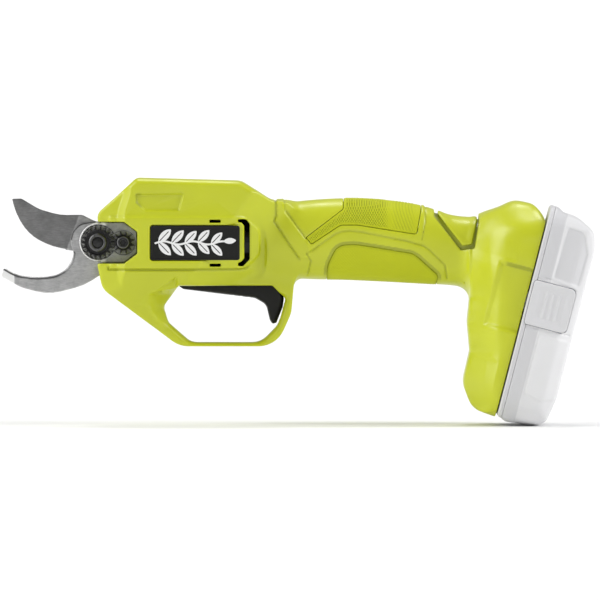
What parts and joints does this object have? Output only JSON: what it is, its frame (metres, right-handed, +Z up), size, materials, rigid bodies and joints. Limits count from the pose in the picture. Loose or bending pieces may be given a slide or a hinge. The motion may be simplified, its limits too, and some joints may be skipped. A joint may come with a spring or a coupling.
{
  "type": "battery electric pruner",
  "caption": "Hand-held electric bypass pruner: curved moving blade over a hook blade, geared motor head, guarded trigger, straight grip and a slide-on battery pack.",
  "frame": {"origin": "centre of the object's bounding box, blades open, battery fitted", "axes": "+X from the blades to the battery along the tool, +Y across the tool, away from the side with the tension gears, +Z up, from the finger guard to the top of the head"},
  "size_m": [0.3021, 0.0786, 0.1256],
  "materials": {
    "housing_green": "fine satin moulded texture",
    "grip_green": "soft overmould with a fine raised pattern",
    "black_plastic": "fine matt moulded texture",
    "badge_black": "smooth printed plate",
    "blade_steel": "ground carbon steel, brushed along the blade",
    "hook_steel": "ground steel, brushed across the hook",
    "dark_metal": "blackened steel",
    "gear_steel": "machined steel",
    "aluminium_cast": "die cast",
    "motor_steel": "plated steel",
    "board": "circuit board with parts",
    "wire_red": "wire insulation",
    "wire_black": "wire insulation",
    "pack_pale": "pale satin plastic",
    "cell_wrap": "shrink wrap"
  },
  "bodies": {
    "tool": {"badge_left": "badge_black", "badge_right": "badge_black", "battery_lead_black": "wire_black", "battery_lead_red": "wire_red", "control_board": "board", "gear_frame": "aluminium_cast", "gearbox_case": "aluminium_cast", "grip_lower_left": "grip_green", "grip_lower_right": "grip_green", "grip_upper_left": "grip_green", "grip_upper_right": "grip_green", "head_plate": "dark_metal", "hook_blade": "hook_steel", "housing_left": "housing_green", "housing_right": "housing_green", "housing_screw_base": "gear_steel", "housing_screw_grip_front": "gear_steel", "housing_screw_grip_middle": "gear_steel", "housing_screw_head_rear": "gear_steel", "housing_screw_nose_top": "gear_steel", "lock_screw": "dark_metal", "motor_can": "motor_steel", "motor_cap": "black_plastic", "pinion_bearing": "gear_steel", "pivot_bolt": "dark_metal", "pivot_nut": "gear_steel", "power_switch": "black_plastic", "tang_screw_1": "gear_steel", "tang_screw_2": "gear_steel", "terminal_block": "black_plastic", "trigger_pin": "gear_steel", "trigger_switch": "black_plastic"},
    "moving_blade": {"cutting_blade": "blade_steel", "sector_gear": "gear_steel", "sector_rivet_1": "gear_steel", "sector_rivet_2": "gear_steel"},
    "adjuster": {"adjuster_gear": "dark_metal"},
    "lock_wheel": {"lock_gear": "dark_metal"},
    "output_shaft": {"pinion_shaft": "gear_steel"},
    "first_carrier": {"sun_carrier": "gear_steel"},
    "rotor": {"motor_rotor": "motor_steel"},
    "trigger": {"trigger": "black_plastic"},
    "plunger": {"switch_plunger": "black_plastic", "trigger_spring": "gear_steel"},
    "power_button": {"power_button": "housing_green"},
    "battery": {"battery_case": "pack_pale", "battery_cell_1": "cell_wrap", "battery_cell_2": "cell_wrap", "battery_cell_3": "cell_wrap", "battery_cell_4": "cell_wrap", "battery_cell_5": "cell_wrap", "battery_lid": "pack_pale"},
    "latch_left": {"latch_left": "pack_pale"},
    "latch_right": {"latch_right": "pack_pale"},
    "planet_first_1": {"planet_first_1": "gear_steel"},
    "planet_first_2": {"planet_first_2": "gear_steel"},
    "planet_first_3": {"planet_first_3": "gear_steel"},
    "planet_second_1": {"planet_second_1": "gear_steel"},
    "planet_second_2": {"planet_second_2": "gear_steel"},
    "planet_second_3": {"planet_second_3": "gear_steel"}
  },
  "joints": [
    {"name": "motor_spin", "type": "hinge", "parent": "tool", "child": "rotor", "pos_m": [-0.03, 0.006, 0.03], "axis": [-1, 0, 0], "range_deg": [0, 3645]},
    {"name": "first_carrier_spin", "type": "hinge", "parent": "tool", "child": "first_carrier", "pos_m": [-0.067, 0.006, 0.03], "axis": [-1, 0, 0], "range_deg": [0, 810]},
    {"name": "output_spin", "type": "hinge", "parent": "tool", "child": "output_shaft", "pos_m": [-0.08, 0.006, 0.03], "axis": [-1, 0, 0], "range_deg": [0, 180]},
    {"name": "blade_pivot", "type": "hinge", "parent": "tool", "child": "moving_blade", "pos_m": [-0.102, 0, 0.03], "axis": [0, -1, 0], "range_deg": [0, 45]},
    {"name": "planet_first_1_spin", "type": "hinge", "parent": "first_carrier", "child": "planet_first_1", "pos_m": [-0.064, 0.0141, 0.03], "axis": [-1, 0, 0], "range_deg": [-2269, 0]},
    {"name": "planet_first_2_spin", "type": "hinge", "parent": "first_carrier", "child": "planet_first_2", "pos_m": [-0.064, 0.00195, 0.03701], "axis": [-1, 0, 0], "range_deg": [-2269, 0]},
    {"name": "planet_first_3_spin", "type": "hinge", "parent": "first_carrier", "child": "planet_first_3", "pos_m": [-0.064, 0.00195, 0.02299], "axis": [-1, 0, 0], "range_deg": [-2269, 0]},
    {"name": "planet_second_1_spin", "type": "hinge", "parent": "output_shaft", "child": "planet_second_1", "pos_m": [-0.0735, 0.0141, 0.03], "axis": [-1, 0, 0], "range_deg": [-505, 0]},
    {"name": "planet_second_2_spin", "type": "hinge", "parent": "output_shaft", "child": "planet_second_2", "pos_m": [-0.0735, 0.00195, 0.03701], "axis": [-1, 0, 0], "range_deg": [-505, 0]},
    {"name": "planet_second_3_spin", "type": "hinge", "parent": "output_shaft", "child": "planet_second_3", "pos_m": [-0.0735, 0.00195, 0.02299], "axis": [-1, 0, 0], "range_deg": [-505, 0]},
    {"name": "tension_adjust", "type": "hinge", "parent": "tool", "child": "adjuster", "pos_m": [-0.102, -0.0125, 0.03], "axis": [0, -1, 0], "range_deg": [-60, 60]},
    {"name": "lock_wheel_spin", "type": "hinge", "parent": "tool", "child": "lock_wheel", "pos_m": [-0.089, -0.0125, 0.03], "axis": [0, -1, 0], "range_deg": [-90, 90]},
    {"name": "trigger_pull", "type": "hinge", "parent": "tool", "child": "trigger", "pos_m": [-0.0623, 0, 0.0112], "axis": [0, -1, 0], "range_deg": [0, 7], "stiffness_Nm_per_rad": 1.2, "springref_deg": -4.58},
    {"name": "plunger_push", "type": "slide", "parent": "tool", "child": "plunger", "axis": [0, 0, 1], "range_m": [0, 0.0065], "deforming": ["trigger_spring"]},
    {"name": "power_press", "type": "hinge", "parent": "tool", "child": "power_button", "pos_m": [0.091, 0, 0.0386], "axis": [0, -1, 0], "range_deg": [0, 5], "stiffness_Nm_per_rad": 0.2, "springref_deg": -5.73},
    {"name": "battery_pull_off", "type": "slide", "parent": "tool", "child": "battery", "axis": [0.9681, 0, -0.2504], "range_m": [0, 0.045]},
    {"name": "latch_left_press", "type": "slide", "parent": "battery", "child": "latch_left", "axis": [0, 1, 0], "range_m": [0, 0.0025], "stiffness_N_per_m": 1500, "springref_m": -0.002},
    {"name": "latch_right_press", "type": "slide", "parent": "battery", "child": "latch_right", "axis": [0, -1, 0], "range_m": [0, 0.0025], "stiffness_N_per_m": 1500, "springref_m": -0.002}
  ],
  "couplings": [
    {"joint": "first_carrier_spin", "follows": "motor_spin", "ratio": 0.22222},
    {"joint": "output_spin", "follows": "motor_spin", "ratio": 0.049383},
    {"joint": "blade_pivot", "follows": "motor_spin", "ratio": 0.012346},
    {"joint": "planet_first_1_spin", "follows": "motor_spin", "ratio": -0.62222},
    {"joint": "planet_first_2_spin", "follows": "motor_spin", "ratio": -0.62222},
    {"joint": "planet_first_3_spin", "follows": "motor_spin", "ratio": -0.62222},
    {"joint": "planet_second_1_spin", "follows": "motor_spin", "ratio": -0.13827},
    {"joint": "planet_second_2_spin", "follows": "motor_spin", "ratio": -0.13827},
    {"joint": "planet_second_3_spin", "follows": "motor_spin", "ratio": -0.13827},
    {"joint": "lock_wheel_spin", "follows": "tension_adjust", "ratio": -1.5},
    {"joint": "plunger_push", "follows": "trigger_pull", "m_per_rad": 0.0513}
  ]
}
